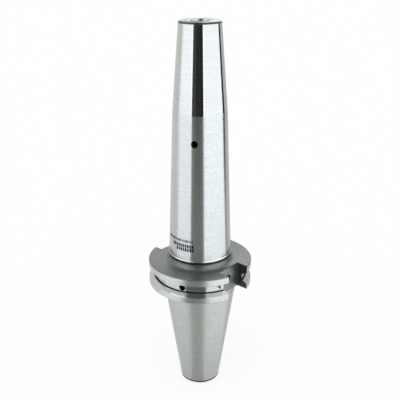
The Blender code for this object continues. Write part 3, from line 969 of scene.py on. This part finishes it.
marks = bmesh.new()
row_of_marks(marks, count=20, first=-71, spacing=TICK_SPACING, widths=[BOLD_TICK] + 4 * [FINE_TICK],
             bottom=0.1043, top=0.1060)
row_of_marks(marks, count=10, first=-56, spacing=BAR_SPACING, widths=[THIN_BAR, THICK_BAR],
             bottom=0.1010, top=0.1031)
row_of_marks(marks, count=8, first=-46, spacing=BAR_SPACING, widths=[THICK_BAR, THIN_BAR],
             bottom=0.0986, top=0.1007)
finishes["laser_mark"] = machined("laser_mark", 0.03, 0.5, (900.0, 900.0, 900.0), contrast=0.4, spread=0.1)
marking = solid("plain_marking", marks, ["laser_mark"])
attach(marking, "holder")
print(len(marking.data.polygons) // 6, "ticks and bars")

# %% [markdown]
# The camera
#
# A 7:24 taper, a flange and a cone of known size are enough to work a camera back from a picture.
# It stands a little over 360 mm from the holder and 38 mm above its nose, looks down by 24 degrees
# and is shifted up, so that the vertical lines lean as little as they do in the picture.

# %% Camera
CAMERA_PITCH = math.radians(66.108)
CAMERA_HEADING = math.radians(42.04)
SENSOR_WIDTH = 36.0
FOCAL_LENGTH = 58.297
UPWARD_SHIFT = 0.0715

camera_data = bpy.data.cameras.new("camera")
camera_data.sensor_width = SENSOR_WIDTH
camera_data.lens = FOCAL_LENGTH
camera_data.shift_y = UPWARD_SHIFT
camera = bpy.data.objects.new("camera", camera_data)
camera.location = CAMERA_PLACE
camera.rotation_euler = (CAMERA_PITCH, 0.0, CAMERA_HEADING)
bpy.context.scene.collection.objects.link(camera)
bpy.context.scene.camera = camera
print("camera", round(1000 * CAMERA_PLACE.length), "mm from the foot of the holder")

# %% [markdown]
# The table
#
# The holder stands on a pale table that runs out of the picture. A plain plane would do, but this
# one has a small hole under the holder and is clear from below, so that the threaded end can be
# looked at too.

# %% Table top
TABLE_RADIUS = 4.0
TABLE_HOLE_RADIUS = 0.010
TABLE_SIDES = 96

table_shape = bmesh.new()
for ring_radius in (TABLE_RADIUS, TABLE_HOLE_RADIUS):
    bmesh.ops.create_circle(table_shape, cap_ends=False, segments=TABLE_SIDES, radius=ring_radius)
bmesh.ops.bridge_loops(table_shape, edges=table_shape.edges)
bmesh.ops.recalc_face_normals(table_shape, faces=table_shape.faces)
if next(iter(table_shape.faces)).normal.z < 0:
    bmesh.ops.reverse_faces(table_shape, faces=table_shape.faces)
table_mesh = bpy.data.meshes.new("pale_table")
table_shape.to_mesh(table_mesh)
table_shape.free()
table_top = bpy.data.objects.new("pale_table", table_mesh)
bpy.context.scene.collection.objects.link(table_top)
print("table with", len(table_mesh.polygons), "faces")

# %% [markdown]
# The table's paint
#
# White paint alone would look grey under one lamp. So what the camera or the steel sees of the
# table is a plain white for the most part, and the rest is pale paint, which takes the soft shadow
# of the holder.

# %% Rays that see a surface directly
def seen_directly(recipe):
    """1 for a ray from the camera, from a mirror or through glass, and 0 for any other."""
    to_camera = recipe.node("ShaderNodeLightPath", output="Is Camera Ray")
    to_mirror = recipe.node("ShaderNodeLightPath", output="Is Glossy Ray")
    to_glass = recipe.node("ShaderNodeLightPath", output="Is Transmission Ray")
    return to_camera + to_mirror + to_glass


# %% Paint the table
TABLE_PAINT = 0.9
TABLE_WHITENESS = 0.85

table_finish, recipe = new_material("pale_table")
seen_from_below = recipe.node("ShaderNodeNewGeometry", output="Backfacing")
painted = recipe.node("ShaderNodeBsdfDiffuse", {}, {"Color": grey(TABLE_PAINT)})
white = recipe.node("ShaderNodeEmission", {}, {"Color": grey(1.0), "Strength": 1.0})
clear = recipe.node("ShaderNodeBsdfTransparent")
whitened = seen_directly(recipe) * TABLE_WHITENESS
top = recipe.node("ShaderNodeMixShader", {}, {0: whitened, 1: painted, 2: white})
both = recipe.node("ShaderNodeMixShader", {}, {0: seen_from_below, 1: top, 2: clear})
recipe.node("ShaderNodeOutputMaterial", {}, {"Surface": both})
table_mesh.materials.append(table_finish)
print("the table's paint has", len(table_finish.node_tree.nodes), "nodes")

# %% [markdown]
# The world
#
# The background is white. Metal mirrors what is round it, so the world is white to the camera and
# to mirrored rays alike, and a little dimmer where it only lights the table.

# %% World
WORLD_LIGHT = 0.72

world = bpy.data.worlds.new("white_studio")
bpy.context.scene.world = world
world.use_nodes = True
recipe = Recipe(world.node_tree)
lighting = recipe.node("ShaderNodeBackground", {}, {"Color": grey(1.0), "Strength": WORLD_LIGHT})
backdrop = recipe.node("ShaderNodeBackground", {}, {"Color": grey(1.0), "Strength": 1.0})
chosen = recipe.node("ShaderNodeMixShader", {}, {0: seen_directly(recipe), 1: lighting, 2: backdrop})
recipe.node("ShaderNodeOutputWorld", {}, {"Surface": chosen})
print("the world has", len(world.node_tree.nodes), "nodes")

# %% [markdown]
# The studio that the steel mirrors
#
# Polished steel has no look of its own: it shows what stands round it. Tools are photographed
# with a soft box on each side and a black flag between them, which draws the dark line down the
# middle. Area lamps would do the same, but each of them is equally bright all over. The panels
# here shade from one level to the next, and only mirrored rays see them, so they light no paint
# and hide nothing.

# %% One material for all the panels
glow, recipe = new_material("glow")
brightness = recipe.node("ShaderNodeAttribute", {"attribute_name": "glow"})
light = recipe.node("ShaderNodeEmission", {}, {"Color": brightness, "Strength": 1.0})
recipe.node("ShaderNodeOutputMaterial", {}, {"Surface": light})


def studio_panel(name, shape):
    """A panel that only mirrored rays can see."""
    mesh = bpy.data.meshes.new(name)
    shape.to_mesh(mesh)
    shape.free()
    mesh.materials.append(glow)
    panel = bpy.data.objects.new(name, mesh)
    bpy.context.scene.collection.objects.link(panel)
    panel.visible_camera = False
    panel.visible_diffuse = False
    panel.visible_shadow = False
    panel.visible_transmission = False
    return panel


# %% [markdown]
# Bays
#
# The studio is cut into bays, as a cake is. Each bay runs between two bearings, in degrees to the
# right of the camera, and holds the strip of table that the rim and the taper mirror and the wall
# that the cones mirror. Its corners carry the brightness, which blends between them.

# %% One bay of the studio
PANEL_DISTANCE = 0.45
PANEL_TOP = 0.8
PANEL_STEP = math.radians(3)
TABLE_GLOSS_Z = 0.0005


def bay(name, first, last, table_levels, wall_levels, tint):
    """A slice of the studio between two bearings: the table as steel mirrors it, then a wall.

    The levels are pairs of a distance or a height and a brightness.
    """
    profile = [(distance, TABLE_GLOSS_Z, level) for distance, level in table_levels]
    profile += [(PANEL_DISTANCE, height, level) for height, level in wall_levels]
    columns = math.ceil(math.radians(last - first) / PANEL_STEP)
    shape = bmesh.new()
    glow_layer = shape.verts.layers.float_color.new("glow")
    grid = []
    for distance, height, level in profile:
        row = []
        for column in range(columns + 1):
            angle = CAMERA_BEARING + math.radians(first + (last - first) * column / columns)
            vert = shape.verts.new((distance * math.cos(angle), distance * math.sin(angle), height))
            vert[glow_layer] = grey(level, tint)
            row.append(vert)
        grid.append(row)
    for near, far in zip(grid, grid[1:]):
        for column in range(columns):
            shape.faces.new((near[column], near[column + 1], far[column + 1], far[column]))
    return studio_panel(name, shape)


# %% [markdown]
# What each part of the steel mirrors
#
# The ground body mirrors the foot of a wall, and the nose cone, which is steeper, mirrors what is
# higher up. The nose's own face mirrors a narrow band of the back wall, and the flange's face what
# is above it. The taper mirrors the table near the holder, and the rim the table further out. The
# levels could come from lamps of a known strength, but here they are matched to the picture.

# %% Levels of the table and of the walls
HOLDER_FOOT = 0.0128
BODY_WALL_TOP = 0.118
NOSE_WALL_FOOT = 0.126
BACK_WALL_SHOULDER = 0.235
NOSE_FACE_BAND = (0.245, 0.27)
NOSE_FACE_LEVEL = 0.65
FLANGE_FACE_WALL_FOOT = 0.285


def side_wall(foot, body, nose, top):
    """Levels of a wall: two for what the body mirrors and two for what the nose mirrors."""
    return [(0.0, foot), (BODY_WALL_TOP, body), (NOSE_WALL_FOOT, nose), (PANEL_TOP, top)]


def back_wall(foot, shoulder, above):
    """Levels of a back wall: below, a band for the nose's face, and above for the flange's."""
    band = [(height, NOSE_FACE_LEVEL) for height in NOSE_FACE_BAND]
    return ([(0.0, foot), (BACK_WALL_SHOULDER, shoulder)] + band
            + [(FLANGE_FACE_WALL_FOOT, above), (PANEL_TOP, above)])


def even_wall(level):
    """Levels of a wall that is equally bright all over."""
    return [(0.0, level), (PANEL_TOP, level)]


dark_table = [(HOLDER_FOOT, 0.43), (0.05, 0.45), (0.09, 0.57), (0.11, 0.4), (0.145, 0.14), (0.19, 0.12),
              (0.23, 0.19), (0.31, 0.30), (0.36, 0.26), (PANEL_DISTANCE, 0.19)]
left_table = [(HOLDER_FOOT, 0.7), (PANEL_DISTANCE, 0.75)]
right_table = [(HOLDER_FOOT, 0.65), (PANEL_DISTANCE, 0.6)]
gap_table = [(HOLDER_FOOT, 0.6), (0.2, 0.45), (PANEL_DISTANCE, 0.35)]
left_box_table = [(HOLDER_FOOT, 0.6), (0.06, 0.76), (0.1, 0.8), (0.2, 1.05), (PANEL_DISTANCE, 1.27)]
right_box_table = [(HOLDER_FOOT, 0.65), (0.06, 0.84), (0.1, 0.95), (0.2, 1.15), (0.3, 1.3),
                   (PANEL_DISTANCE, 1.4)]
left_box = [(0.0, 1.23), (0.10, 1.26), (0.16, 1.42), (PANEL_TOP, 1.42)]
right_box = [(0.0, 1.4), (0.16, 1.45), (PANEL_TOP, 1.45)]
gap_wall = [(0.0, 0.2), (0.06, 0.02), (PANEL_TOP, 0.02)]
bright_edge = side_wall(1.3, 1.35, 1.7, 1.7)
print("the dark strip of table has", len(dark_table), "levels")

# %% The bays, from behind on the left, past the camera and on to the right
COOL = (0.975, 0.996, 1.07)

bays = [
    ("back_wall_left", -150, left_table, back_wall(0.8, 0.8, 1.22), NEUTRAL),
    ("left_wall", -99, left_table, even_wall(0.77), NEUTRAL),
    ("left_box_side", -90, left_table, side_wall(0.95, 1.0, 1.1, 1.1), COOL),
    ("left_soft_box", -38.5, left_box_table, left_box, COOL),
    ("left_box_edge", -33.5, left_box_table, bright_edge, COOL),
    ("grey_flag", -18, dark_table, side_wall(0.22, 0.23, 0.07, 0.055), NEUTRAL),
    ("black_flag", 3, dark_table, side_wall(0.17, 0.18, 0.035, 0.03), NEUTRAL),
    ("black_flag_edge", 14, dark_table, side_wall(0.18, 0.2, 0.025, 0.025), NEUTRAL),
    ("right_box_edge", 19, right_box_table, bright_edge, COOL),
    ("right_soft_box", 106.5, right_box_table, right_box, COOL),
    ("right_gap", 120, gap_table, gap_wall, NEUTRAL),
    ("right_wall", 150, right_table, even_wall(0.6), NEUTRAL),
    ("back_wall_right", 180, right_table, back_wall(0.6, 0.7, 2.3), NEUTRAL),
]
panels = []
first = -180
for name, last, table_levels, wall_levels, tint in bays:
    panels.append(bay(name, first, last, table_levels, wall_levels, tint))
    first = last
print(len(panels), "bays up to a bearing of", first, "degrees")

# %% [markdown]
# Overhead
#
# The fillet, the chamfers and the groove's lower flank look up. Two panels over the holder brighten
# them, and a dark slit between the two draws a line down the middle of each.

# %% Panels overhead, with a dark slit between them
SLIT_LEFT = -0.2
SLIT_RIGHT = 0.09


def overhead(name, left, right, level):
    """A flat panel over the holder, between two distances to the right of the camera's line."""
    shape = bmesh.new()
    glow_layer = shape.verts.layers.float_color.new("glow")
    turn = Matrix.Rotation(CAMERA_BEARING, 3, "Z")
    near, far = PANEL_DISTANCE, -PANEL_DISTANCE
    corners = [(far, left), (near, left), (near, right), (far, right)]
    verts = [shape.verts.new(turn @ Vector((towards, sideways, PANEL_TOP))) for towards, sideways in corners]
    for vert in verts:
        vert[glow_layer] = grey(level)
    shape.faces.new(verts)
    return studio_panel(name, shape)


panels += [
    overhead("left_overhead", -PANEL_DISTANCE, SLIT_LEFT, 1.35),
    overhead("slit_overhead", SLIT_LEFT, SLIT_RIGHT, 0.1),
    overhead("right_overhead", SLIT_RIGHT, PANEL_DISTANCE, 1.0),
]
print("panels:", [panel.name for panel in panels])

# %% [markdown]
# The lamp
#
# The table needs an even light over the whole picture. A lamp close by would leave a bright pool,
# so this one is a sun, and its wide angle keeps the holder's shadow soft.

# %% Lamp
LAMP_STRENGTH = 1.2
LAMP_WIDTH = math.radians(60)
LAMP_PLACE = (0.3, -0.5, 1.3)

lamp_data = bpy.data.lights.new("wide_lamp", "SUN")
lamp_data.energy = LAMP_STRENGTH
lamp_data.angle = LAMP_WIDTH
lamp = bpy.data.objects.new("wide_lamp", lamp_data)
lamp.location = LAMP_PLACE
lamp.rotation_euler = (-lamp.location).to_track_quat("-Z", "Y").to_euler()
lamp.visible_glossy = False
bpy.context.scene.collection.objects.link(lamp)
print("lamp is", round(math.degrees(lamp_data.angle)), "degrees wide")

# %% [markdown]
# The view
#
# Blender's usual view softens bright tones, which would grey the white background. The Standard
# view shows them as they are.

# %% View
bpy.context.scene.view_settings.view_transform = "Standard"
print("view:", bpy.context.scene.view_settings.view_transform)
